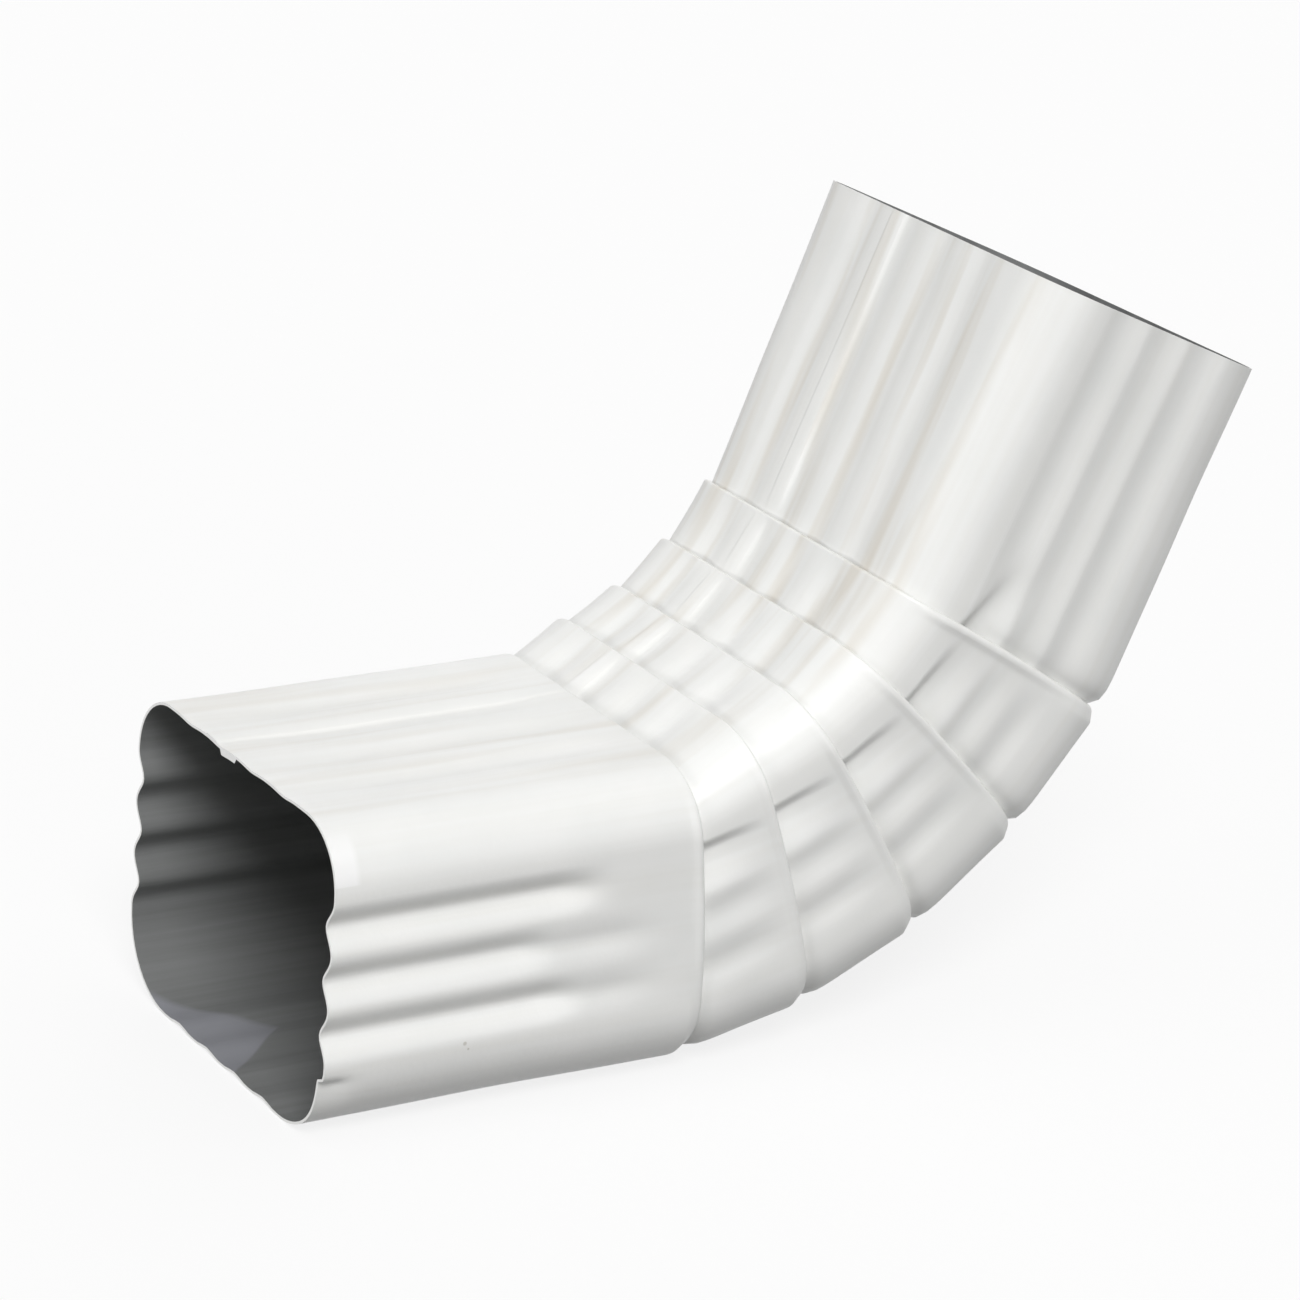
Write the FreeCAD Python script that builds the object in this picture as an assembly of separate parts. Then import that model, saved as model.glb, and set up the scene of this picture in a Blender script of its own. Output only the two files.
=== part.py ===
import FreeCAD, Part
import math
import os

# Downspout elbow, nominal 2 x 3 inch: one fluted, lock-seamed rectangular sheet tube, bent by crimping.
# Origin at the centre of the inlet's cut end. The outlet arm lies along X with its mouth facing -X,
# Y runs across the wide faces and Z is up. The throat is the inner side of the bend, the heel the outer.

# Sheet, and the end sections over the flute crests: the outlet is narrower, so that it slips into an inlet
sheet = 0.5
end_depth = 60.3
outlet_width = 77.5
inlet_width = 81.7
throat_corner = 12.2
heel_corner = 16.0

# Bend: straight outlet arm, five crimps with four gores between them, straight inlet arm cut a little askew
crimps = 5
outlet_heel_length = 79.6
inlet_length = 67.0
first_rim_tilt = 5.7
crimp_turn = 13.2
inlet_turn = 9.6
inlet_skew = 1.0
gore_heel_length = 26.7
gore_growth = 0.6

# Rims: the flutes are pressed smooth there, so the tube is deeper than at its ends
outlet_rim_growth = 0.7
gore_rim_growth = 4.1
rim_roll = 0.6

# Crimp folds: three layers of sheet, folded deep at the throat and hardly at all at the heel
fold_gap = 0.25
throat_fold = 8.6
heel_fold = 1.4

# Flutes along the tube, filling each face between the corner bends but for a margin. On the gores only
# the side flutes next to the throat stay sharp, and the rest are pressed nearly flat
throat_flutes = 5
side_flutes = 3
heel_flutes = 4
flute_margin = 0.5
throat_flute_depth = 0.6
side_flute_depth = 2.4
heel_flute_depth = 0.6
tuck_deepening = 1.2
gore_softening = 0.35
outlet_fade = 30.0

# Lock seam in place of the throat's middle flute, its layers folded flat to the inside
seam_width = 5.0
seam_slope = 0.6
seam_raise = 0.35
seam_layers = 3
seam_squeeze = 0.6

# Flat facets across one flute and round one corner bend, and how nearly flat counts as flat
flute_steps = 6
corner_steps = 5
flat_enough = 1e-6

# Sizes that follow from those above
throat_pitch = (outlet_width - 2.0 * throat_corner - 2.0 * flute_margin) / throat_flutes
side_pitch = (end_depth - throat_corner - heel_corner - 2.0 * flute_margin) / side_flutes
heel_pitch = (outlet_width - 2.0 * heel_corner - 2.0 * flute_margin) / heel_flutes
tuck_inset = 2.0 * sheet + 2.0 * fold_gap


def along(angle):
    """Unit vector in the bend plane, at this angle above the outlet arm."""
    return FreeCAD.Vector(math.cos(math.radians(angle)), 0.0, math.sin(math.radians(angle)))


class Station:
    """A cross-section: throat and heel points, width, depth share of the first side flutes and of the rest, seam."""

    def __init__(self, throat, heel, width, flutes=0.0, rest=0.0, seam=0.0, drawn_in=0.0):
        self.throat = throat
        self.heel = heel
        self.width = width
        self.flutes = flutes
        self.rest = rest
        self.seam = seam
        self.drawn_in = drawn_in

    def inset(self, amount, flutes, rest):
        """The same cross-section drawn in all round by this amount."""
        inward = (self.heel - self.throat).normalize() * amount
        return Station(self.throat + inward, self.heel - inward, self.width - 2.0 * amount,
                       flutes, rest, self.seam, self.drawn_in + amount)

    def toward(self, other, throat_step, heel_step):
        """A smooth cross-section part of the way to another, by its own step at the throat and at the heel."""
        throat_line = other.throat - self.throat
        heel_line = other.heel - self.heel
        share = (throat_step + heel_step) / (throat_line.Length + heel_line.Length)
        return Station(self.throat + throat_line.normalize() * throat_step,
                       self.heel + heel_line.normalize() * heel_step,
                       self.width + (other.width - self.width) * share,
                       drawn_in=self.drawn_in + (other.drawn_in - self.drawn_in) * share)


class Face:
    """One flat side of a cross-section, in section coordinates: its middle, its run and its outward normal."""

    def __init__(self, middle, run, outward, offset):
        self.middle = middle
        self.run = run
        self.outward = outward
        self.offset = offset

    def point(self, place, rise=0.0, lean=0.0):
        """A point along the face, raised off it, then moved by the offset along its true normal."""
        length = math.hypot(1.0, lean)
        out = rise + self.offset / length
        shift = place + self.offset * lean / length
        return tuple(self.middle[axis] + self.run[axis] * shift + self.outward[axis] * out for axis in (0, 1))

    def flute(self, centre, pitch, depth):
        """Span across one flute: from crest through valley to crest, or straight where the sheet is smooth."""
        steps = flute_steps if depth else 2
        points = []
        for index in range(steps + 1):
            phase = math.pi * (index / steps - 0.5)
            rise = -depth * math.cos(phase) ** 3
            lean = -3.0 * depth * math.cos(phase) ** 2 * math.sin(phase) * math.pi / pitch
            points.append(self.point(centre + phase / math.pi * pitch, rise, lean))
        return points

    def flutes(self, first, pitch, depths):
        return [self.flute(first + pitch * index, pitch, depth) for index, depth in enumerate(depths)]


def corner(centre, radius, start):
    """Span of one corner bend, a quarter turn clockwise from the start angle."""
    angles = [math.radians(start - 90.0 * step / corner_steps) for step in range(corner_steps + 1)]
    return [(centre[0] + radius * math.cos(angle), centre[1] + radius * math.sin(angle)) for angle in angles]


def seam_places():
    """The seam across the throat: it lies against the far one of the two flutes beside it."""
    foot = throat_pitch / 2.0 - flute_margin
    far = foot - seam_slope
    near = far - seam_width
    return near - seam_slope, near, far, foot


def throat_spans(face, depth, seam_height):
    """The throat: flutes either side of the lock seam."""
    wing = throat_flutes // 2
    first = -wing * throat_pitch
    low_near, near, far, low_far = seam_places()
    seam = [face.point(low_near), face.point(near, seam_height), face.point(far, seam_height), face.point(low_far)]
    before = face.flutes(first, throat_pitch, [depth] * wing)
    after = face.flutes(throat_pitch, throat_pitch, [depth] * wing)
    stops = [before[-1][-1]] + seam + [after[0][0]]
    return before + [[start, end] for start, end in zip(stops, stops[1:])] + after


def section_spans(station, offset, seam_height):
    """Spans of the whole cross-section, clockwise seen from the outlet, in Y and toward the throat."""
    wide = station.width / 2.0
    deep = (station.throat - station.heel).Length / 2.0
    top = throat_corner - station.drawn_in
    low = heel_corner - station.drawn_in
    middle = (low - top) / 2.0
    side = [side_flute_depth * station.flutes] + [side_flute_depth * station.rest] * (side_flutes - 1)
    heel = [heel_flute_depth * station.rest] * heel_flutes
    side_first = -side_pitch * (side_flutes - 1) / 2.0
    heel_first = -heel_pitch * (heel_flutes - 1) / 2.0
    throat_face = Face((0.0, deep), (1.0, 0.0), (0.0, 1.0), offset)
    far_face = Face((wide, middle), (0.0, -1.0), (1.0, 0.0), offset)
    heel_face = Face((0.0, -deep), (-1.0, 0.0), (0.0, -1.0), offset)
    near_face = Face((-wide, middle), (0.0, 1.0), (-1.0, 0.0), offset)
    groups = [
        throat_spans(throat_face, throat_flute_depth * station.rest, seam_height * station.seam),
        [corner((wide - top, deep - top), top + offset, 90.0)],
        far_face.flutes(side_first, side_pitch, side),
        [corner((wide - low, low - deep), low + offset, 0.0)],
        heel_face.flutes(heel_first, heel_pitch, heel),
        [corner((low - wide, low - deep), low + offset, -90.0)],
        near_face.flutes(side_first, side_pitch, side[::-1]),
        [corner((top - wide, deep - top), top + offset, 180.0)],
    ]
    spans = []
    for group, following in zip(groups, groups[1:] + groups[:1]):
        spans += group + [[group[-1][-1], following[0][0]]]
    return spans


def ring(station, offset=0.0, seam_height=0.0):
    """The spans of a cross-section in place, as lists of points."""
    middle = (station.throat + station.heel) * 0.5
    upward = (station.throat - station.heel).normalize()
    spans = section_spans(station, offset, seam_height)
    return [[middle + upward * up + FreeCAD.Vector(0.0, across, 0.0) for across, up in span] for span in spans]


def painted(station):
    return ring(station, 0.0, seam_raise)


def back(station):
    return ring(station, -sheet, -seam_layers * sheet)


def facet(points):
    """A flat face, or a ruled one where the four corners are not in one plane."""
    if len(points) == 3 or abs(volume(points)) < flat_enough:
        return Part.Face(Part.makePolygon(points + points[:1]))
    return Part.makeRuledSurface(Part.makeLine(points[0], points[1]), Part.makeLine(points[3], points[2]))


def volume(points):
    """Six times the space between four corners, nothing where they lie in one plane."""
    first, second, third, fourth = points
    return (second - first).cross(third - first).dot(fourth - first)


def runout(flute, straight):
    """A flute that runs out to a point on a smooth rim: half a cone between two flat triangles."""
    left, tip, right = straight
    fan = [facet([one, other, tip]) for one, other in zip(flute, flute[1:])]
    return fan + [facet([flute[0], left, tip]), facet([flute[-1], tip, right])]


def panel(first, second):
    """Faces between a span of one ring and the same span of the next."""
    if len(first) > len(second):
        return runout(first, second)
    if len(first) < len(second):
        return runout(second, first)
    pairs = list(zip(first, second))
    return [facet([one[0], other[0], other[1], one[1]]) for one, other in zip(pairs, pairs[1:])]


def strip(first, second):
    faces = []
    for one, other in zip(first, second):
        faces += panel(one, other)
    return faces


def strips(rings):
    faces = []
    for first, second in zip(rings, rings[1:]):
        faces += strip(first, second)
    return faces


def rim_stations():
    """The rims of the crimps from the outlet arm up, each next one turned and set on by a gore."""
    heel = FreeCAD.Vector(outlet_heel_length, 0.0, -end_depth / 2.0)
    rims = []
    for index in range(crimps):
        tilt = first_rim_tilt + crimp_turn * index
        depth = end_depth + (gore_rim_growth if index else outlet_rim_growth)
        rims.append(Station(heel + along(tilt + 90.0) * depth, heel, outlet_width))
        heel = heel + along(tilt + crimp_turn / 2.0) * (gore_heel_length + gore_growth * index)
    return rims


def crimp(rim, below, rest):
    """One fold: over the rim of the lower piece, down inside it, and up again as the next piece."""
    roll = rim.toward(below, rim_roll, rim_roll)
    crease = rim.toward(below, sheet, sheet)
    fold = rim.toward(below, throat_fold, heel_fold).inset(tuck_inset, tuck_deepening, rest)
    lip = rim.toward(below, throat_fold + sheet, heel_fold + sheet).inset(tuck_inset, tuck_deepening, rest)
    tuck = rim.inset(tuck_inset, tuck_deepening, rest)
    outside = [ring(roll), ring(rim, -rim_roll), ring(rim, -2.0 * sheet - fold_gap), ring(fold), ring(tuck)]
    inside = [ring(crease, -sheet - fold_gap / 2.0), ring(lip, sheet), ring(lip, -sheet), ring(tuck, -sheet)]
    return outside, inside, tuck


def elbow():
    """The sheet's painted side and its back from outlet to inlet, closed at both cut ends."""
    up = FreeCAD.Vector(0.0, 0.0, end_depth / 2.0)
    onward = FreeCAD.Vector(outlet_heel_length - outlet_fade, 0.0, 0.0)
    mouth = Station(up, -up, outlet_width, 1.0, 1.0, 1.0)
    fade = Station(up + onward, onward - up, outlet_width, 1.0, 1.0, seam_squeeze)
    outside = [painted(mouth), painted(fade)]
    inside = [back(mouth), back(fade)]
    rims = rim_stations()
    below = fade
    for rim in rims:
        rest = tuck_deepening if rim is rims[-1] else gore_softening
        outer_fold, inner_fold, below = crimp(rim, below, rest)
        outside += outer_fold
        inside += inner_fold
    inlet_angle = first_rim_tilt + crimp_turn * (crimps - 1) + inlet_turn
    middle = (rims[-1].throat + rims[-1].heel) * 0.5 + along(inlet_angle) * inlet_length
    upward = along(inlet_angle + 90.0 - inlet_skew) * (end_depth / 2.0)
    inlet = Station(middle + upward, middle - upward, inlet_width, 1.0, 1.0, 1.0)
    outside.append(painted(inlet))
    inside.append(back(inlet))
    faces = strips(outside) + strips(inside) + strip(outside[0], inside[0]) + strip(outside[-1], inside[-1])
    shell = Part.Shell(faces)
    shell.sewShape()
    solid = Part.Solid(shell)
    solid.translate(-middle)
    return solid


os.makedirs("parts", exist_ok=True)
elbow().exportStep("parts/downspout_elbow.step")
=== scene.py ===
import math

import bpy
import numpy as np
from mathutils import Matrix, Vector


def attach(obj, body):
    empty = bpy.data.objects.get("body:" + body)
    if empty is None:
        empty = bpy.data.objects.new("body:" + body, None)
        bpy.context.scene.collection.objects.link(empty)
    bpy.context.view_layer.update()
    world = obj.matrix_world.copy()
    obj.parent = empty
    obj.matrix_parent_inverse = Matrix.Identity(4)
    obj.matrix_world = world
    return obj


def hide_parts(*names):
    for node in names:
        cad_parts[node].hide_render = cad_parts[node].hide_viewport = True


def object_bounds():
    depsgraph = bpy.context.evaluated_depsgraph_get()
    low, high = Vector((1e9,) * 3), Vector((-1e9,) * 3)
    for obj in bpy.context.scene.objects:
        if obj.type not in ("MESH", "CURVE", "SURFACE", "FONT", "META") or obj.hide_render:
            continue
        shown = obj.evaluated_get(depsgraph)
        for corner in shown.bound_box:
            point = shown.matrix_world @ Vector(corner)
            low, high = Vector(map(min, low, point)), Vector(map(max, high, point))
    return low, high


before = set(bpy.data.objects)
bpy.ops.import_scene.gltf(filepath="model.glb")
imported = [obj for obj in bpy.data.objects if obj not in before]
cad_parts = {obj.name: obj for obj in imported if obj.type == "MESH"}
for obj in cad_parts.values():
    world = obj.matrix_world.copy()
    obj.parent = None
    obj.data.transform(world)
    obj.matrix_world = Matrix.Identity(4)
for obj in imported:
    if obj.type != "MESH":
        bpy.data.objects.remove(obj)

cad_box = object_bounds()
MM = 0.001

# Sheet and section in millimetres, the same values as the solid
SHEET = 0.5
END_DEPTH = 60.3
OUTLET_WIDTH = 77.5
INLET_WIDTH = 81.7
THROAT_CORNER = 12.2
HEEL_CORNER = 16.0

# Bend
CRIMPS = 5
OUTLET_HEEL = 79.6
INLET_LENGTH = 67.0
FIRST_TILT = 5.7
CRIMP_TURN = 13.2
INLET_TURN = 9.6
INLET_SKEW = 1.0
GORE_HEEL = 26.7
GORE_GROWTH = 0.6
OUTLET_RIM_GROWTH = 0.7
GORE_RIM_GROWTH = 4.1

# Crimp folds
FOLD_GAP = 0.25
THROAT_FOLD = 8.6
HEEL_FOLD = 1.4
TUCK_INSET = 2.0 * SHEET + 2.0 * FOLD_GAP
SPRING_LENGTH = 1.6

# Rims: a round folded edge, a bead on the sides, and a heel that is turned in
EDGE_ROUND = SHEET + FOLD_GAP / 2.0
EDGE_STEPS = 8
RIM_STEPS = (4.8, 4.0, 3.3, 2.7, 2.1, 1.5, 1.0, EDGE_ROUND)
HEEL_TURN = 1.6
HEEL_TURN_LENGTH = 2.8
HEEL_TURN_FROM = 0.45
HEEL_TUCK_LENGTH = 1.8
BEADS = (0.5, 0.6, 0.6, 0.45, 0.5)
BEAD_PLACE = 1.1
BEAD_HALF = 1.4
BEAD_FROM = 0.05
BEAD_OVER = 0.15
RIM_BOW = 0.8

# Flutes
FLUTE_MARGIN = 0.5
THROAT_PITCH = 12.1
THROAT_SHIFT = 0.5
SIDE_PITCH = (END_DEPTH - THROAT_CORNER - HEEL_CORNER - 2.0 * FLUTE_MARGIN) / 3.0
HEEL_PITCH = (OUTLET_WIDTH - 2.0 * HEEL_CORNER - 2.0 * FLUTE_MARGIN) / 4.0
FOUR_FLUTES = (-1.5, -0.5, 0.5, 1.5)
THREE_FLUTES = (-1, 0, 1)
THROAT_DEPTH = 0.6
OUTLET_THROAT_DEPTH = 0.9
SIDE_DEPTH = 2.4
HEEL_DEPTH = 0.6
TUCK_DEEPENING = 1.2
CREASE_ROUND = 0.5
GROOVE_POWER = 3
MOUTH_THROAT = 0.35
MOUTH_LENGTH = 20.0

# Run-out of the outlet arm's flutes: the distance to the rim at which each is gone, and over which it goes
RUN_OUT = 14.0
FIRST_GONE = 18.0
SECOND_GONE = 27.0
THIRD_GONE = 21.0
FAINT = 0.3
FAINT_GONE = 7.0
FLAT_GONE = 3.0

# Pinch under the throat corner, where each piece comes out of the rim below it
DENT_PLACE = -SIDE_PITCH - 1.9
DENT_STEP = 3.2
DENT_SLOPE = 8.5
DENT_DEPTH = 2.2
ARM_DENT_DEPTH = 1.5
ARM_DENT_LENGTH = 20.0
ARM_DENT_LEAN = 0.4

# Softer flutes of the gores and of the inlet arm
GORE_SIDE_DEPTH = 0.65
GORE_THROAT_DEPTH = 0.75
GORE_THROAT_POWER = 3
GORE_FADE_FROM = 0.375
INLET_SIDE_DEPTH = 0.65
INLET_SHIFT = 1.0
SCALLOP_POWER = 1.4

# Lock seam: a low step outside and a pad of doubled sheet inside, as shares of their heights along each piece
SEAM_PLACE = 8.4
SEAM_WIDTH = 3.4
SEAM_SLOPE = 0.6
SEAM_RAISE = 0.28
PAD_PLACE = 0.9
PAD_WIDTH = 5.2
SEAM_PAD = 2.0 * SHEET
OUTLET_SEAM_LOSS = 0.5
GORE_SEAM = 0.9
INLET_SEAM_START = 0.1

# Pushed-in near corner of the mouth, below a crease
PUSH_DEPTH = 1.9
PUSH_TOP = -16.2
PUSH_STEP = 0.9
PUSH_HEIGHT = 12.0
PUSH_LENGTH = 7.0

# Unevenness of the pressed sheet: waves by their turns per millimetre in X, Y and Z and their phase
RIPPLE = 0.05
RIPPLE_WAVES = (((1.0 / 7.3, 1.0 / 15.0, 0.0), 1.3),
                ((0.0, 1.0 / 6.1, -1.0 / 8.7), 0.4),
                ((1.0 / 15.0, 0.0, 1.0 / 6.7), 0.0))

# Faces of the section, and how finely each is drawn
THROAT_FACE, FAR_FACE, HEEL_FACE, NEAR_FACE, CORNER_FACE = range(5)
CORNER_STEPS = 12
NEAR_HEEL_STEPS = 22
THROAT_COUNT = 50
SIDE_COUNT = 42
HEEL_COUNT = 24
DENT_DRAWN = (-1.15, 0.15, 8)
OUTLET_ROWS = 36
GORE_ROWS = 12
INLET_ROWS = 34
SHARP_ANGLE = 60.0

# Finishes of the sheet: the slot of each on the mesh, and its colours
PAINT_SLOT, BACK_SLOT, CUT_SLOT = range(3)
PAINT_TONE = (0.84, 0.84, 0.825, 1.0)
PAINT_BLOTCH = (0.81, 0.815, 0.80, 1.0)
PAINT_STREAK = (0.78, 0.775, 0.745, 1.0)
PAINTED_HIGHLIGHT_TONE = (0.89, 0.89, 0.885, 1.0)
THROAT_STREAK_TONE = (0.68, 0.645, 0.58, 1.0)
SPECK_TONE = (0.60, 0.59, 0.55, 1.0)
BACK_DARK = (0.185, 0.19, 0.187, 1.0)
BACK_PALE = (0.22, 0.225, 0.225, 1.0)
PAINTED_LIGHT_TONE = (0.285, 0.29, 0.315, 1.0)
CUT_DARK = (0.62, 0.62, 0.61, 1.0)
CUT_PALE = (0.76, 0.76, 0.75, 1.0)

# Gloss of the finishes, and the strength and depth in metres of their bumps
PAINT_SPECULAR = 0.35
BACK_SPECULAR = 0.15
PAINT_ROUGHNESS = (0.30, 0.42)
BACK_ROUGHNESS = (0.48, 0.6)
CUT_ROUGHNESS = (0.3, 0.45)
ROLLED_BUMP = (0.08, 0.0006)
PEEL_BUMP = (0.05, 0.0004)
BACK_BUMP = (0.1, 0.0005)

# Noise in the finishes: even grains by turns per metre and detail, and the range of the noise that shows
BLOTCHES = (70.0, 3.0)
PEEL = (900.0, 2.0)
CUT_GRAIN = (1800.0, 3.0)
NOISE_SHOWN = (0.3, 0.7)

# Streaks by turns per metre across, up and along the unbent tube, with their detail and roughness
PAINT_STREAKS = ((420.0, 420.0, 9.0), 4.0, 0.5)
THROAT_STREAKS = ((190.0, 190.0, 12.0), 2.0, 0.5)
BACK_STREAKS = ((600.0, 600.0, 14.0), 5.0, 0.6)
PAINT_STREAKS_SHOWN = (0.4, 0.75)
PAINT_STREAKS_MOST = 0.5

# Warm grey streaks on the throat: the range of the streak noise that shows, and from which height on the
# section and in the room
THROAT_STREAKS_SHOWN = (0.50, 0.70)
THROAT_STREAKS_MOST = 0.8
THROAT_STREAKS_UP = (0.0275, 0.0295)
THROAT_STREAKS_HEIGHT = (-0.09, -0.06)

# Small marks, in metres: dark specks on the outlet arm, a painted highlight by its mouth, and a paler patch
# of painted light inside
SPECKS = (((-0.1391, -0.0387, -0.1199), 0.0005), ((-0.1383, -0.0387, -0.1211), 0.0003))
HIGHLIGHT_END = -0.1632
HIGHLIGHT_END_FADE = 0.0012
HIGHLIGHT_LOW = -0.0857
HIGHLIGHT_LOW_FADE = 0.0002
HIGHLIGHT_HIGH = -0.0805
HIGHLIGHT_NEAR = -0.031
HIGHLIGHT_FADE = 0.003
PAINTED_LIGHT_EDGES = (((-0.779, -0.628, 0.0), 0.1109, 0.002),
               ((-0.665, 0.747, 0.0), 0.1067, 0.0006),
               ((0.0, 0.0, -1.0), 0.1335, 0.001))

# Lamps: name, way toward the lamp, strength, angle in degrees, and whether it shows in gloss
SUNS = (("key", (-0.30, -0.62, 0.72), 1.85, 24.0, True),
        ("fill", (0.05, -1.0, 0.05), 1.0, 50.0, True),
        ("bend_fill", (-1.0, -0.05, 0.02), 1.25, 30.0, True),
        ("back", (0.55, 0.83, 0.06), 1.4, 30.0, False))

# Floor and dome: what the eye sees of them, and the light that they shed
FLOOR_HALF = 6.0
FLOOR_LIT = (0.9, 0.9, 0.9, 1.0)
FLOOR_WHITE = 0.82
FLOOR_SHED = (0.12, 0.12, 0.118, 1.0)
DOME_TONE = (1.0, 1.0, 1.0, 1.0)
DOME_LOW = 0.12
DOME_HIGH = 0.58
DOME_SEEN = 1.0

# Camera at the photograph's viewing angle
CAMERA_PLACE = Vector((-0.53603, -0.69216, 0.23721))
CAMERA_AIM = Vector((-0.08186, 0.0, -0.06614))
CAMERA_ROLL = 4.977
CAMERA_LENS = 131.2
SENSOR = 36.0

# Sockets of the colour mix node
MIX_SHARE, MIX_FIRST, MIX_SECOND = 0, 6, 7
MIX_RESULT = 2


def seam_stops(near, width):
    """Places across the throat where the slopes of a seam's band begin and end."""
    far = near + width
    return near - SEAM_SLOPE, near, far, far + SEAM_SLOPE


def fixed_places(half, count, extra=()):
    """Places across a face at which its flutes are drawn."""
    even = np.linspace(-half, half, count + 1)
    return np.unique(np.round(np.concatenate([even, np.array(extra, float)]), 4))


SEAM_BAND = seam_stops(SEAM_PLACE, SEAM_WIDTH)
PAD_BAND = seam_stops(PAD_PLACE, PAD_WIDTH)
DENT_PLACES = DENT_PLACE + DENT_STEP * np.linspace(*DENT_DRAWN)
THROAT_HALF = OUTLET_WIDTH / 2.0 - THROAT_CORNER - FLUTE_MARGIN
THROAT_PLACES = fixed_places(THROAT_HALF, THROAT_COUNT, SEAM_BAND + PAD_BAND)
FAR_PLACES = fixed_places(1.5 * SIDE_PITCH, SIDE_COUNT, DENT_PLACES)
NEAR_PLACES = fixed_places(1.5 * SIDE_PITCH, SIDE_COUNT, -DENT_PLACES)
HEEL_PLACES = fixed_places(2.0 * HEEL_PITCH, HEEL_COUNT)


def loop(width, depth, drawn):
    """One smooth section: points (across, up), outward normals, the face and the place on it."""
    top = THROAT_CORNER - drawn
    low = HEEL_CORNER - drawn
    wide = width / 2.0
    deep = depth / 2.0
    middle = (low - top) / 2.0
    side_half = deep - (top + low) / 2.0
    rows = []

    def face(kind, places, half, point, normal):
        for place in np.concatenate([[-half], places, [half]]):
            rows.append((*point(place), *normal, kind, place))

    def corner(across, up, radius, start, steps):
        for step in range(1, steps):
            angle = math.radians(start - 90.0 * step / steps)
            cosine, sine = math.cos(angle), math.sin(angle)
            point = (across + radius * cosine, up + radius * sine)
            rows.append((*point, cosine, sine, CORNER_FACE, 0.0))

    face(THROAT_FACE, THROAT_PLACES, wide - top, lambda p: (p, deep), (0.0, 1.0))
    corner(wide - top, deep - top, top, 90.0, CORNER_STEPS)
    face(FAR_FACE, FAR_PLACES, side_half, lambda p: (wide, middle - p), (1.0, 0.0))
    corner(wide - low, low - deep, low, 0.0, CORNER_STEPS)
    face(HEEL_FACE, HEEL_PLACES, wide - low, lambda p: (-p, -deep), (0.0, -1.0))
    corner(low - wide, low - deep, low, -90.0, NEAR_HEEL_STEPS)
    face(NEAR_FACE, NEAR_PLACES, side_half, lambda p: (-wide, middle + p), (-1.0, 0.0))
    corner(top - wide, deep - top, top, 180.0, CORNER_STEPS)
    return np.array(rows)


class Section:
    """A smooth cross-section in place: loop points, outward normals and the share from throat to heel."""

    def __init__(self, throat, heel, width, drawn=0.0):
        self.throat = np.array(throat, float)
        self.heel = np.array(heel, float)
        self.width = width
        self.drawn = drawn
        depth = np.linalg.norm(self.throat - self.heel)
        upward = (self.throat - self.heel) / depth
        middle = (self.throat + self.heel) / 2.0
        rows = loop(width, depth, drawn)
        self.across = rows[:, 0]
        self.up = rows[:, 1]
        self.points = np.column_stack([middle[0] + self.up * upward[0], self.across,
                                       middle[1] + self.up * upward[1]])
        self.normals = np.column_stack([rows[:, 3] * upward[0], rows[:, 2], rows[:, 3] * upward[1]])
        self.kind = rows[:, 4].astype(int)
        self.place = rows[:, 5]
        self.low = 0.5 - self.up / depth

    def inset(self, amount):
        """The section drawn in on all sides."""
        inward = (self.heel - self.throat) / np.linalg.norm(self.heel - self.throat) * amount
        return Section(self.throat + inward, self.heel - inward,
                       self.width - 2.0 * amount, self.drawn + amount)

    def toward(self, other, throat_step, heel_step):
        """The section moved toward another, by its own step at the throat and at the heel."""
        throat_line = other.throat - self.throat
        heel_line = other.heel - self.heel
        throat_length = np.linalg.norm(throat_line)
        heel_length = np.linalg.norm(heel_line)
        share = (throat_step + heel_step) / (throat_length + heel_length)
        return Section(self.throat + throat_line / throat_length * throat_step,
                       self.heel + heel_line / heel_length * heel_step,
                       self.width + (other.width - self.width) * share,
                       self.drawn + (other.drawn - self.drawn) * share)


class Spot:
    """Where the points of one row lie: face, place across it, and distances along the piece."""

    def __init__(self, section, past, left):
        self.kind = section.kind
        self.place = section.place
        self.side = (self.kind == FAR_FACE) | (self.kind == NEAR_FACE)
        self.down = np.where(self.kind == NEAR_FACE, -self.place, self.place)
        self.across = section.across
        self.up = section.up
        self.past = past
        self.left = left
        self.run = past / (past + left)


def along(angle):
    """The way that an angle in degrees points, in X and Z."""
    return np.array([math.cos(math.radians(angle)), math.sin(math.radians(angle))])


def smooth_step(value):
    """Rises smoothly from nothing at zero to one at one."""
    value = np.clip(value, 0.0, 1.0)
    return value * value * (3.0 - 2.0 * value)


def bump(value):
    """One at zero, falling smoothly to nothing at one on either side."""
    return np.cos(math.pi / 2.0 * np.clip(value, -1.0, 1.0)) ** 2


def flute_turn(place, centre, pitch):
    """Angle across one flute: nothing at its bottom, a quarter turn at the crests."""
    return math.pi * np.clip((place - centre) / pitch, -0.5, 0.5)


def crease(place, centre, pitch):
    """One flute between round crests: one at its narrow bottom, nothing at the crests."""
    sine = np.sin(flute_turn(place, centre, pitch))
    crest = math.hypot(1.0, CREASE_ROUND)
    return (crest - np.hypot(sine, CREASE_ROUND)) / (crest - CREASE_ROUND)


def groove(place, centre, pitch):
    """One flute between broad flat crests."""
    return np.cos(flute_turn(place, centre, pitch)) ** GROOVE_POWER


def wave(down, centre):
    """One soft, broad flute on a side."""
    return bump((down - centre) * 2.0 / SIDE_PITCH)


def scallop(down, centre):
    """One broad round flute on a side, between narrow crests."""
    return np.cos(flute_turn(down, centre, SIDE_PITCH)) ** SCALLOP_POWER


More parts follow.
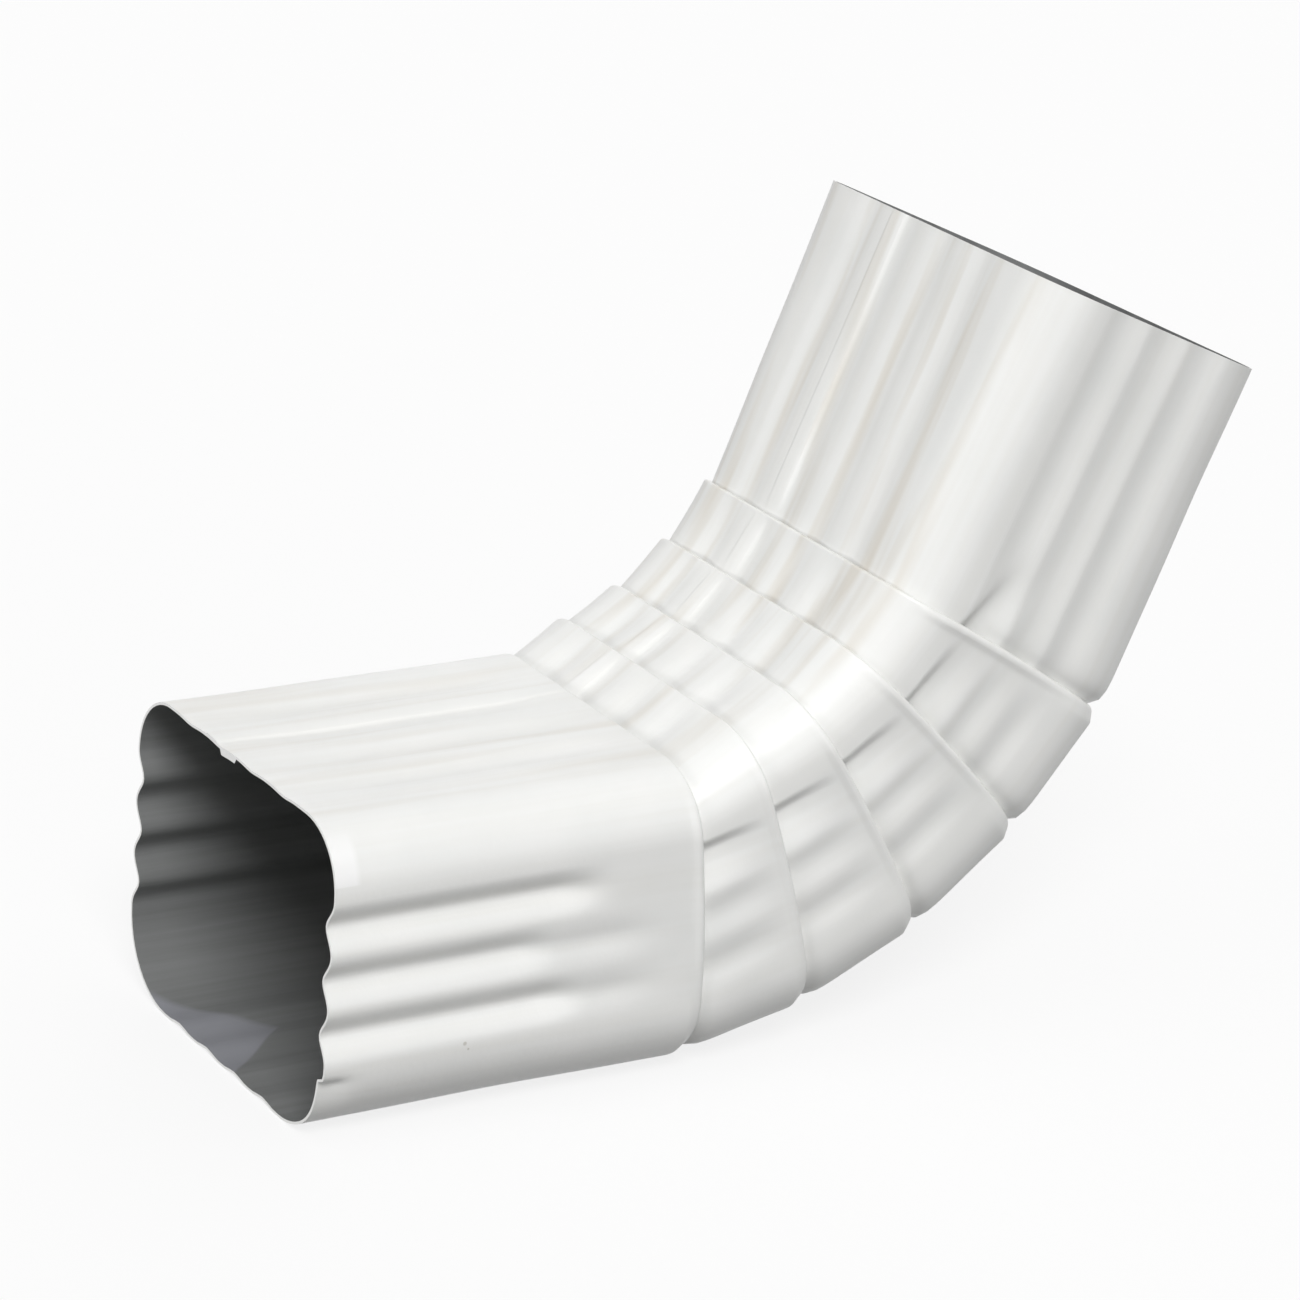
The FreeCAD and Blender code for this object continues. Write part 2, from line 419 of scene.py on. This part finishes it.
def dent(down):
    """A pinch across a side: a steep step on the throat side, a long slope on the heel side."""
    past = down - DENT_PLACE
    return np.where(past < 0.0, smooth_step(1.0 + past / DENT_STEP), bump(past / DENT_SLOPE))


def throat_grooves(spot):
    """The throat's four flutes, nothing on the other faces."""
    centres = [THROAT_SHIFT + step * THROAT_PITCH for step in FOUR_FLUTES]
    total = sum(groove(spot.place, centre, THROAT_PITCH) for centre in centres)
    return (spot.kind == THROAT_FACE) * total


def heel_grooves(spot):
    """The heel's four flutes, nothing on the other faces."""
    total = sum(groove(spot.place, step * HEEL_PITCH, HEEL_PITCH) for step in FOUR_FLUTES)
    return (spot.kind == HEEL_FACE) * total


def mouth_push(spot):
    """How far the near heel corner of the mouth is pushed in, below a crease."""
    below = PUSH_TOP - spot.up
    height = smooth_step(below / PUSH_STEP) * smooth_step(1.0 - below / PUSH_HEIGHT)
    return PUSH_DEPTH * (spot.across < 0.0) * height * smooth_step(1.0 - spot.past / PUSH_LENGTH)


def outlet_flutes(spot):
    """Depth of the outlet arm's flutes, which run out before the rim, and of its pushed-in corner."""
    faint = FAINT * smooth_step((spot.left - FAINT_GONE) / RUN_OUT)
    side = np.zeros_like(spot.place)
    ends = (FIRST_GONE, SECOND_GONE, THIRD_GONE)
    for step, gone, rest in zip(THREE_FLUTES, ends, (0.0, faint, faint)):
        full = smooth_step((spot.left - gone) / RUN_OUT)
        side += crease(spot.down, step * SIDE_PITCH, SIDE_PITCH) * np.maximum(full, rest)
    flat = smooth_step((spot.left - FLAT_GONE) / RUN_OUT)
    throat = flat * (MOUTH_THROAT + (1.0 - MOUTH_THROAT) * smooth_step(spot.past / MOUTH_LENGTH))
    return (SIDE_DEPTH * spot.side * side + OUTLET_THROAT_DEPTH * throat_grooves(spot) * throat
            + HEEL_DEPTH * heel_grooves(spot) * flat + mouth_push(spot))


def gore_flutes(spot):
    """Depth of a gore's flutes: one sharp pinch on each side, and soft waves in the rest."""
    pinch = DENT_DEPTH * dent(spot.down) * (1.0 - smooth_step(spot.run))
    fading = 1.0 - smooth_step((spot.run - GORE_FADE_FROM) / (1.0 - GORE_FADE_FROM))
    soft = wave(spot.down, 0.0) + wave(spot.down, SIDE_PITCH)
    return (spot.side * (pinch + GORE_SIDE_DEPTH * soft * fading)
            + GORE_THROAT_DEPTH * throat_grooves(spot) * (1.0 - spot.run ** GORE_THROAT_POWER)
            + HEEL_DEPTH * heel_grooves(spot) * fading)


def inlet_flutes(spot):
    """Depth of the inlet arm's flutes, deeper where it is tucked in, with a pinch there."""
    depth = TUCK_DEEPENING + (1.0 - TUCK_DEEPENING) * spot.run
    side = sum(scallop(spot.down, INLET_SHIFT + step * SIDE_PITCH) for step in THREE_FLUTES)
    slant = dent(spot.down - ARM_DENT_LEAN * spot.past)
    pinch = ARM_DENT_DEPTH * slant * (1.0 - smooth_step(spot.past / ARM_DENT_LENGTH))
    return (spot.side * (INLET_SIDE_DEPTH * depth * side + pinch)
            + THROAT_DEPTH * throat_grooves(spot) + HEEL_DEPTH * heel_grooves(spot) * depth)


def outlet_seam(run):
    """Shares of the seam's step and pad along the outlet arm."""
    return 1.0 - OUTLET_SEAM_LOSS * run * run, 1.0 - run


def gore_seam(run):
    """Shares of the seam's step and pad along a gore."""
    return GORE_SEAM * np.sin(math.pi * run), 0.0 * run


def inlet_seam(run):
    """Shares of the seam's step and pad along the inlet arm."""
    share = np.minimum(1.0, run / INLET_SEAM_START)
    return share, share


def seam_height(section, band, height):
    """Height of a seam's band across the throat, with a slope at either side."""
    ramp = np.interp(section.place, band, [0.0, 1.0, 1.0, 0.0])
    return (section.kind == THROAT_FACE) * ramp * height


def ripple(points):
    """Slight unevenness of pressed sheet, always inward."""
    waves = sum(np.sin(points @ np.array(turns) + phase) for turns, phase in RIPPLE_WAVES)
    return RIPPLE * (waves - len(RIPPLE_WAVES))


def heel_turn(section):
    """How far the rim's edge is turned in, nothing at the throat and most at the heel."""
    return HEEL_TURN * smooth_step((section.low - HEEL_TURN_FROM) / (1.0 - HEEL_TURN_FROM))


def rim_lift(left, turn, bead, low):
    """Rise of the last stretch before a rim: the bead on the sides, less the heel's turning in."""
    inward = turn * np.clip(1.0 - left / HEEL_TURN_LENGTH, 0.0, 1.0)
    on_side = smooth_step((low - BEAD_FROM) / BEAD_OVER) * (1.0 - turn / HEEL_TURN)
    return bead * on_side * bump((left - BEAD_PLACE) / BEAD_HALF) - inward


def grid_normals(grid):
    """Outward normals of a tube of rows, from its own shape."""
    around = np.roll(grid, -1, axis=1) - np.roll(grid, 1, axis=1)
    onward = np.gradient(grid, axis=0)
    normals = np.cross(onward, around)
    return normals / np.linalg.norm(normals, axis=2)[:, :, None]


class Piece:
    """One length of tube between two sections: rows of points on the painted side and on the back."""

    def __init__(self, start, end, flutes, seam, rows, bead=None):
        line = end.points - start.points
        length = np.linalg.norm(line, axis=1)
        self.lines = line / length[:, None]
        shares = np.linspace(0.0, 1.0, rows)
        if bead is None:
            self.reach = length
            travel = [share * length for share in shares]
        else:
            self.reach = length + RIM_BOW * np.sin(math.pi * end.low)
            self.edge_lift = -heel_turn(end)
            self.last_lift = rim_lift(RIM_STEPS[-1], heel_turn(end), bead, end.low)
            travel = [share * (self.reach - RIM_STEPS[0]) for share in shares[:-1]]
            travel += [self.reach - step for step in RIM_STEPS]
        self.outer = []
        plain = []
        pads = []
        for past in travel:
            share = np.clip(past / length, 0.0, 1.0)
            points = start.points + self.lines * past[:, None]
            normals = start.normals + share[:, None] * (end.normals - start.normals)
            normals /= np.linalg.norm(normals, axis=1)[:, None]
            spot = Spot(start, past, self.reach - past)
            lift = ripple(points) * np.sin(math.pi * spot.run) - flutes(spot)
            if start.drawn > 0.0:
                spring = 1.0 - np.exp(-past / SPRING_LENGTH)
                lift += TUCK_INSET * (1.0 - share) * spring * smooth_step(2.0 * start.low)
                lift -= heel_turn(start) * np.exp(-past / HEEL_TUCK_LENGTH)
            if bead is not None:
                lift += rim_lift(spot.left, heel_turn(end), bead, end.low)
            raised, padded = seam(spot.run)
            stepped = lift + seam_height(start, SEAM_BAND, raised * SEAM_RAISE)
            self.outer.append(points + normals * stepped[:, None])
            plain.append(points + normals * lift[:, None])
            pads.append(seam_height(start, PAD_BAND, padded * SEAM_PAD))
        plain = np.array(plain)
        self.back = list(plain - grid_normals(plain) * (SHEET + np.array(pads))[:, :, None])


def fluted(section, flutes, offset):
    """A fold's section, drawn with the flutes of the piece that comes out of it."""
    start = np.zeros(len(section.place))
    rise = offset - flutes(Spot(section, start, start + 1.0))
    rise -= heel_turn(section) * (1.0 - HEEL_FOLD / HEEL_TURN_LENGTH)
    return section.points + section.normals * rise[:, None]


def rim_sections():
    """The sections at the five rims, each turned further than the one before."""
    heel = np.array([OUTLET_HEEL, -END_DEPTH / 2.0])
    rims = []
    for index in range(CRIMPS):
        tilt = FIRST_TILT + CRIMP_TURN * index
        depth = END_DEPTH + (GORE_RIM_GROWTH if index else OUTLET_RIM_GROWTH)
        rims.append(Section(heel + along(tilt + 90.0) * depth, heel, OUTLET_WIDTH))
        heel = heel + along(tilt + CRIMP_TURN / 2.0) * (GORE_HEEL + GORE_GROWTH * index)
    return rims


def folded_edge(piece, start, rim):
    """Rows over the rim: a rounded edge, then down its inner side."""
    tip = start.points + piece.lines * piece.reach[:, None]
    rows = []
    for step in range(1, EDGE_STEPS + 1):
        angle = math.pi * step / EDGE_STEPS
        blend = math.sin(angle) if angle < math.pi / 2.0 else 1.0
        lift = piece.last_lift + (piece.edge_lift - piece.last_lift) * blend
        lift = lift - EDGE_ROUND * (1.0 - math.cos(angle))
        onward = piece.lines * EDGE_ROUND * (math.sin(angle) - 1.0)
        rows.append(tip + onward + rim.normals * lift[:, None])
    return rows


def square_cut(row, point, normal):
    """Brings a row of points into the plane of a cut end."""
    normal = np.array(normal)
    row -= ((row - np.array(point)) @ normal)[:, None] * normal


def build_rows():
    """All rows of the painted side and of the back, from the outlet's mouth to the inlet."""
    rims = rim_sections()
    mouth = Section((0.0, END_DEPTH / 2.0), (0.0, -END_DEPTH / 2.0), OUTLET_WIDTH)
    angle = FIRST_TILT + CRIMP_TURN * (CRIMPS - 1) + INLET_TURN
    origin = (rims[-1].throat + rims[-1].heel) / 2.0 + along(angle) * INLET_LENGTH
    upward = along(angle + 90.0 - INLET_SKEW) * END_DEPTH / 2.0
    inlet = Section(origin + upward, origin - upward, INLET_WIDTH)
    outer = []
    back = []
    start, flutes, seam, rows = mouth, outlet_flutes, outlet_seam, OUTLET_ROWS
    for index, rim in enumerate(rims):
        piece = Piece(start, rim, flutes, seam, rows, BEADS[index])
        flutes, seam, rows = gore_flutes, gore_seam, GORE_ROWS
        if rim is rims[-1]:
            flutes, seam, rows = inlet_flutes, inlet_seam, INLET_ROWS
        fold = rim.toward(start, THROAT_FOLD, HEEL_FOLD).inset(TUCK_INSET)
        lip = rim.toward(start, THROAT_FOLD + SHEET, HEEL_FOLD + SHEET).inset(TUCK_INSET)
        depth = SHEET + FOLD_GAP / 2.0 + heel_turn(rim)
        outer += piece.outer + folded_edge(piece, start, rim)
        outer.append(fluted(fold, flutes, FOLD_GAP / 2.0))
        back += piece.back
        back.append(rim.points - piece.lines * SHEET - rim.normals * depth[:, None])
        back += [fluted(lip, flutes, SHEET), fluted(lip, flutes, -SHEET)]
        start = rim.inset(TUCK_INSET)
    last = Piece(start, inlet, flutes, seam, rows)
    shift = np.array([origin[0], 0.0, origin[1]])
    outer = np.array(outer + last.outer) - shift
    back = np.array(back + last.back) - shift
    square_cut(back[0], -shift, (1.0, 0.0, 0.0))
    inlet_way = along(angle - INLET_SKEW)
    square_cut(back[-1], (0.0, 0.0, 0.0), (inlet_way[0], 0.0, inlet_way[1]))
    return outer, back, mouth


def profile_places(grid, mouth):
    """Place of each point on the unbent tube: across, up, and along its middle line."""
    steps = np.linalg.norm(np.diff(grid.mean(axis=1), axis=0), axis=1)
    travel = np.concatenate([[0.0], np.cumsum(steps)])
    rows, count = grid.shape[:2]
    return np.column_stack([np.tile(mouth.across, rows), np.tile(mouth.up, rows), np.repeat(travel, count)])


def make_elbow():
    """The whole sheet as one closed mesh: painted side, back, and the two cut edges between them."""
    outer, back, mouth = build_rows()
    count = outer.shape[1]
    points = np.concatenate([outer.reshape(-1, 3), back.reshape(-1, 3)]) * MM
    back_start = outer.shape[0] * count
    faces = []
    slots = []

    def strip(first, second, slot, flip):
        for place in range(count):
            follow = (place + 1) % count
            quad = (first + place, second + place, second + follow, first + follow)
            faces.append(quad[::-1] if flip else quad)
            slots.append(slot)

    for row in range(outer.shape[0] - 1):
        strip(row * count, (row + 1) * count, PAINT_SLOT, False)
    for row in range(back.shape[0] - 1):
        strip(back_start + row * count, back_start + (row + 1) * count, BACK_SLOT, True)
    strip(0, back_start, CUT_SLOT, True)
    strip(back_start - count, back_start + (back.shape[0] - 1) * count, CUT_SLOT, False)
    mesh = bpy.data.meshes.new("elbow_sheet")
    mesh.from_pydata(points.tolist(), [], faces)
    mesh.polygons.foreach_set("material_index", slots)
    profile = mesh.attributes.new("profile", "FLOAT_VECTOR", "POINT")
    places = np.concatenate([profile_places(outer, mouth), profile_places(back, mouth)]) * MM
    profile.data.foreach_set("vector", places.ravel())
    mesh.update()
    piece = bpy.data.objects.new("elbow_sheet", mesh)
    bpy.context.scene.collection.objects.link(piece)
    mesh.shade_smooth()
    mesh.set_sharp_from_angle(angle=math.radians(SHARP_ANGLE))
    return piece


class Nodes:
    """The nodes of a material or of the world, added and joined in one step each."""

    def __init__(self, owner):
        owner.use_nodes = True
        self.owner = owner
        self.tree = owner.node_tree

    def fill(self, node, values):
        """Sets a node's inputs, or joins them to what other nodes give."""
        for key, value in values.items():
            if isinstance(value, bpy.types.NodeSocket):
                self.tree.links.new(value, node.inputs[key])
            else:
                node.inputs[key].default_value = value

    def add(self, kind, values, **settings):
        """A new node with its settings and inputs."""
        node = self.tree.nodes.new(kind)
        for name, value in settings.items():
            setattr(node, name, value)
        self.fill(node, values)
        return node

    def place(self):
        """The object's own places, in metres."""
        return self.add("ShaderNodeTexCoord", {}).outputs["Object"]

    def profile(self):
        """The places on the unbent tube: across, up and along, in metres."""
        return self.add("ShaderNodeAttribute", {}, attribute_name="profile").outputs["Vector"]

    def vectors(self, first, second, operation):
        """What an operation on two vectors gives."""
        return self.add("ShaderNodeVectorMath", {0: first, 1: second}, operation=operation).outputs

    def numbers(self, first, second, operation, clamp=False):
        """What an operation on two numbers gives."""
        node = self.add("ShaderNodeMath", {0: first, 1: second}, operation=operation, use_clamp=clamp)
        return node.outputs["Value"]

    def noise(self, vector, scale, detail, roughness=0.5):
        """Soft random grain around a half."""
        values = {"Vector": vector, "Scale": scale, "Detail": detail, "Roughness": roughness}
        return self.add("ShaderNodeTexNoise", values).outputs["Fac"]

    def streaks(self, scale, detail, roughness):
        """Noise drawn out along the sheet."""
        drawn_out = self.vectors(self.profile(), scale, "MULTIPLY")["Vector"]
        return self.noise(drawn_out, 1.0, detail, roughness)

    def spread(self, value, low, high, to_low, to_high):
        """A value brought from one range to another, and held at its ends."""
        values = {"Value": value, "From Min": low, "From Max": high, "To Min": to_low, "To Max": to_high}
        return self.add("ShaderNodeMapRange", values).outputs["Result"]

    def parts(self, vector):
        """The three numbers of a vector."""
        return self.add("ShaderNodeSeparateXYZ", {0: vector}).outputs

    def product(self, values):
        """All values multiplied."""
        total = values[0]
        for value in values[1:]:
            total = self.numbers(total, value, "MULTIPLY")
        return total

    def dot(self, place, centre, radius):
        """One inside a small round mark, nothing outside it."""
        apart = self.vectors(place, centre, "DISTANCE")["Value"]
        return self.spread(apart, 0.5 * radius, radius, 1.0, 0.0)

    def beside(self, place, way, start, soft):
        """One on the side of a straight edge toward which the way points."""
        reach = self.vectors(place, way, "DOT_PRODUCT")["Value"]
        return self.spread(reach, start, start + soft, 0.0, 1.0)

    def mixed(self, share, first, second):
        """A colour between two, nearer the second where the share is larger."""
        values = {MIX_SHARE: share, MIX_FIRST: first, MIX_SECOND: second}
        return self.add("ShaderNodeMix", values, data_type="RGBA").outputs[MIX_RESULT]

    def bumped(self, height, strength, distance, under=None):
        """Normals of a slightly uneven surface, over those of another where it is given."""
        values = {"Strength": strength, "Distance": distance, "Height": height}
        if under is not None:
            values["Normal"] = under
        return self.add("ShaderNodeBump", values).outputs["Normal"]

    def white_to_eye(self):
        """One for rays that look at the stage, straight or by reflection, nothing for the light it sheds."""
        path = self.add("ShaderNodeLightPath", {}).outputs
        total = path["Is Camera Ray"]
        for name in ("Is Glossy Ray", "Is Transmission Ray"):
            total = self.numbers(total, path[name], "ADD", clamp=True)
        return total


def painted_highlight(nodes, place):
    """Painted highlight: a brighter patch on the near throat corner at the mouth, straight along its lower
    side.
    """
    x, y, z = nodes.parts(place)
    return nodes.product((nodes.spread(x, HIGHLIGHT_END, HIGHLIGHT_END + HIGHLIGHT_END_FADE, 1.0, 0.0),
                          nodes.spread(z, HIGHLIGHT_LOW - HIGHLIGHT_LOW_FADE, HIGHLIGHT_LOW, 0.0, 1.0),
                          nodes.spread(z, HIGHLIGHT_HIGH, HIGHLIGHT_HIGH + HIGHLIGHT_FADE, 1.0, 0.0),
                          nodes.spread(y, HIGHLIGHT_NEAR, HIGHLIGHT_NEAR + HIGHLIGHT_FADE, 1.0, 0.0)))


def warm_throat_streaks(nodes, place):
    """Warm grey streaks, broad and uneven, along the bend's inner side and the inlet arm, on the top of the
    section and above a set height.
    """
    up = nodes.parts(nodes.profile())["Y"]
    height = nodes.parts(place)["Z"]
    streak = nodes.streaks(*THROAT_STREAKS)
    return nodes.product((nodes.spread(streak, *THROAT_STREAKS_SHOWN, 0.0, THROAT_STREAKS_MOST),
                          nodes.spread(up, *THROAT_STREAKS_UP, 0.0, 1.0),
                          nodes.spread(height, *THROAT_STREAKS_HEIGHT, 0.0, 1.0)))


def paint():
    """White baked paint: near even, with faint roller streaks, warm grey streaks on the throat, dark specks,
    and a painted highlight by the mouth.
    """
    nodes = Nodes(bpy.data.materials.new("white_paint"))
    place = nodes.place()
    blotch = nodes.spread(nodes.noise(place, *BLOTCHES), *NOISE_SHOWN, 0.0, 1.0)
    streak = nodes.streaks(*PAINT_STREAKS)
    rolled = nodes.spread(streak, *PAINT_STREAKS_SHOWN, 0.0, PAINT_STREAKS_MOST)
    tone = nodes.mixed(blotch, PAINT_TONE, PAINT_BLOTCH)
    tone = nodes.mixed(rolled, tone, PAINT_STREAK)
    # painted highlight: a brighter patch on the near throat corner by the mouth
    tone = nodes.mixed(painted_highlight(nodes, place), tone, PAINTED_HIGHLIGHT_TONE)
    # warm grey streaks along the top of the section on the throat
    tone = nodes.mixed(warm_throat_streaks(nodes, place), tone, THROAT_STREAK_TONE)
    for centre, radius in SPECKS:
        tone = nodes.mixed(nodes.dot(place, centre, radius), tone, SPECK_TONE)
    under = nodes.bumped(streak, *ROLLED_BUMP)
    nodes.fill(nodes.tree.nodes["Principled BSDF"], {
        "Base Color": tone,
        "Roughness": nodes.spread(streak, *NOISE_SHOWN, *PAINT_ROUGHNESS),
        "Specular IOR Level": PAINT_SPECULAR,
        "Normal": nodes.bumped(nodes.noise(place, *PEEL), *PEEL_BUMP, under),
    })
    return nodes.owner


def back_coat():
    """Grey wash coat on the back of the sheet, streaked along the rolling direction, with a paler patch of
    painted light inside by the mouth.
    """
    nodes = Nodes(bpy.data.materials.new("grey_back_coat"))
    place = nodes.place()
    streak = nodes.streaks(*BACK_STREAKS)
    tone = nodes.mixed(nodes.spread(streak, *NOISE_SHOWN, 0.0, 1.0), BACK_DARK, BACK_PALE)
    # painted light: a paler bluish patch inside by the mouth, bounded by straight edges
    painted_light = nodes.product([nodes.beside(place, *edge) for edge in PAINTED_LIGHT_EDGES])
    nodes.fill(nodes.tree.nodes["Principled BSDF"], {
        "Base Color": nodes.mixed(painted_light, tone, PAINTED_LIGHT_TONE),
        "Roughness": nodes.spread(streak, *NOISE_SHOWN, *BACK_ROUGHNESS),
        "Specular IOR Level": BACK_SPECULAR,
        "Normal": nodes.bumped(streak, *BACK_BUMP),
    })
    return nodes.owner


def cut_edge():
    """Bare aluminium where the sheet was sheared."""
    nodes = Nodes(bpy.data.materials.new("cut_edge"))
    grain = nodes.noise(nodes.place(), *CUT_GRAIN)
    nodes.fill(nodes.tree.nodes["Principled BSDF"], {
        "Base Color": nodes.mixed(grain, CUT_DARK, CUT_PALE),
        "Roughness": nodes.spread(grain, *NOISE_SHOWN, *CUT_ROUGHNESS),
        "Metallic": 1.0,
    })
    return nodes.owner


def add_sun(name, toward, strength, angle, in_gloss):
    """A wide, soft lamp far away."""
    data = bpy.data.lights.new(name, "SUN")
    data.energy = strength
    data.angle = math.radians(angle)
    lamp = bpy.data.objects.new(name, data)
    lamp.rotation_euler = (-Vector(toward)).to_track_quat("-Z", "Y").to_euler()
    lamp.visible_glossy = in_gloss
    bpy.context.scene.collection.objects.link(lamp)


def floor_finish():
    """Pale floor that keeps the object's shadow: near white to the eye, dim in the light it sheds."""
    nodes = Nodes(bpy.data.materials.new("pale_floor"))
    nodes.tree.nodes.remove(nodes.tree.nodes["Principled BSDF"])
    lit = nodes.add("ShaderNodeBsdfDiffuse", {"Color": FLOOR_LIT}).outputs[0]
    white = nodes.add("ShaderNodeEmission", {}).outputs[0]
    seen = nodes.add("ShaderNodeMixShader", {0: FLOOR_WHITE, 1: lit, 2: white}).outputs[0]
    shed = nodes.add("ShaderNodeBsdfDiffuse", {"Color": FLOOR_SHED}).outputs[0]
    both = nodes.add("ShaderNodeMixShader", {0: nodes.white_to_eye(), 1: shed, 2: seen}).outputs[0]
    nodes.fill(nodes.tree.nodes["Material Output"], {"Surface": both})
    return nodes.owner


def make_floor():
    """A plain floor under the lowest point of the elbow."""
    low = cad_box[0][2]
    corners = [(x * FLOOR_HALF, y * FLOOR_HALF, low) for x, y in ((-1, -1), (1, -1), (1, 1), (-1, 1))]
    mesh = bpy.data.meshes.new("floor")
    mesh.from_pydata(corners, [], [(0, 1, 2, 3)])
    mesh.materials.append(floor_finish())
    floor = bpy.data.objects.new("floor", mesh)
    bpy.context.scene.collection.objects.link(floor)
    return floor


def make_dome():
    """Soft light from all round, stronger from above, and plain white to the eye."""
    world = bpy.data.worlds.new("studio")
    bpy.context.scene.world = world
    nodes = Nodes(world)
    toward = nodes.add("ShaderNodeTexCoord", {}).outputs["Generated"]
    shed = nodes.spread(nodes.parts(toward)["Z"], 0.0, 1.0, DOME_LOW, DOME_HIGH)
    strength = nodes.spread(nodes.white_to_eye(), 0.0, 1.0, shed, DOME_SEEN)
    nodes.fill(nodes.tree.nodes["Background"], {"Color": DOME_TONE, "Strength": strength})


def make_camera():
    """The camera at its place, aimed and rolled as in the photograph."""
    data = bpy.data.cameras.new("camera")
    data.sensor_fit = "HORIZONTAL"
    data.sensor_width = SENSOR
    data.lens = CAMERA_LENS
    camera = bpy.data.objects.new("camera", data)
    turn = (CAMERA_AIM - CAMERA_PLACE).to_track_quat("-Z", "Y").to_matrix().to_4x4()
    roll = Matrix.Rotation(math.radians(CAMERA_ROLL), 4, "Z")
    camera.matrix_world = Matrix.Translation(CAMERA_PLACE) @ turn @ roll
    bpy.context.scene.collection.objects.link(camera)
    bpy.context.scene.camera = camera


elbow = make_elbow()
for material in (paint(), back_coat(), cut_edge()):
    elbow.data.materials.append(material)
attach(elbow, "root")
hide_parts("downspout_elbow")

for sun in SUNS:
    add_sun(*sun)
floor = make_floor()
make_dome()
make_camera()

bpy.context.scene.view_settings.view_transform = "Standard"
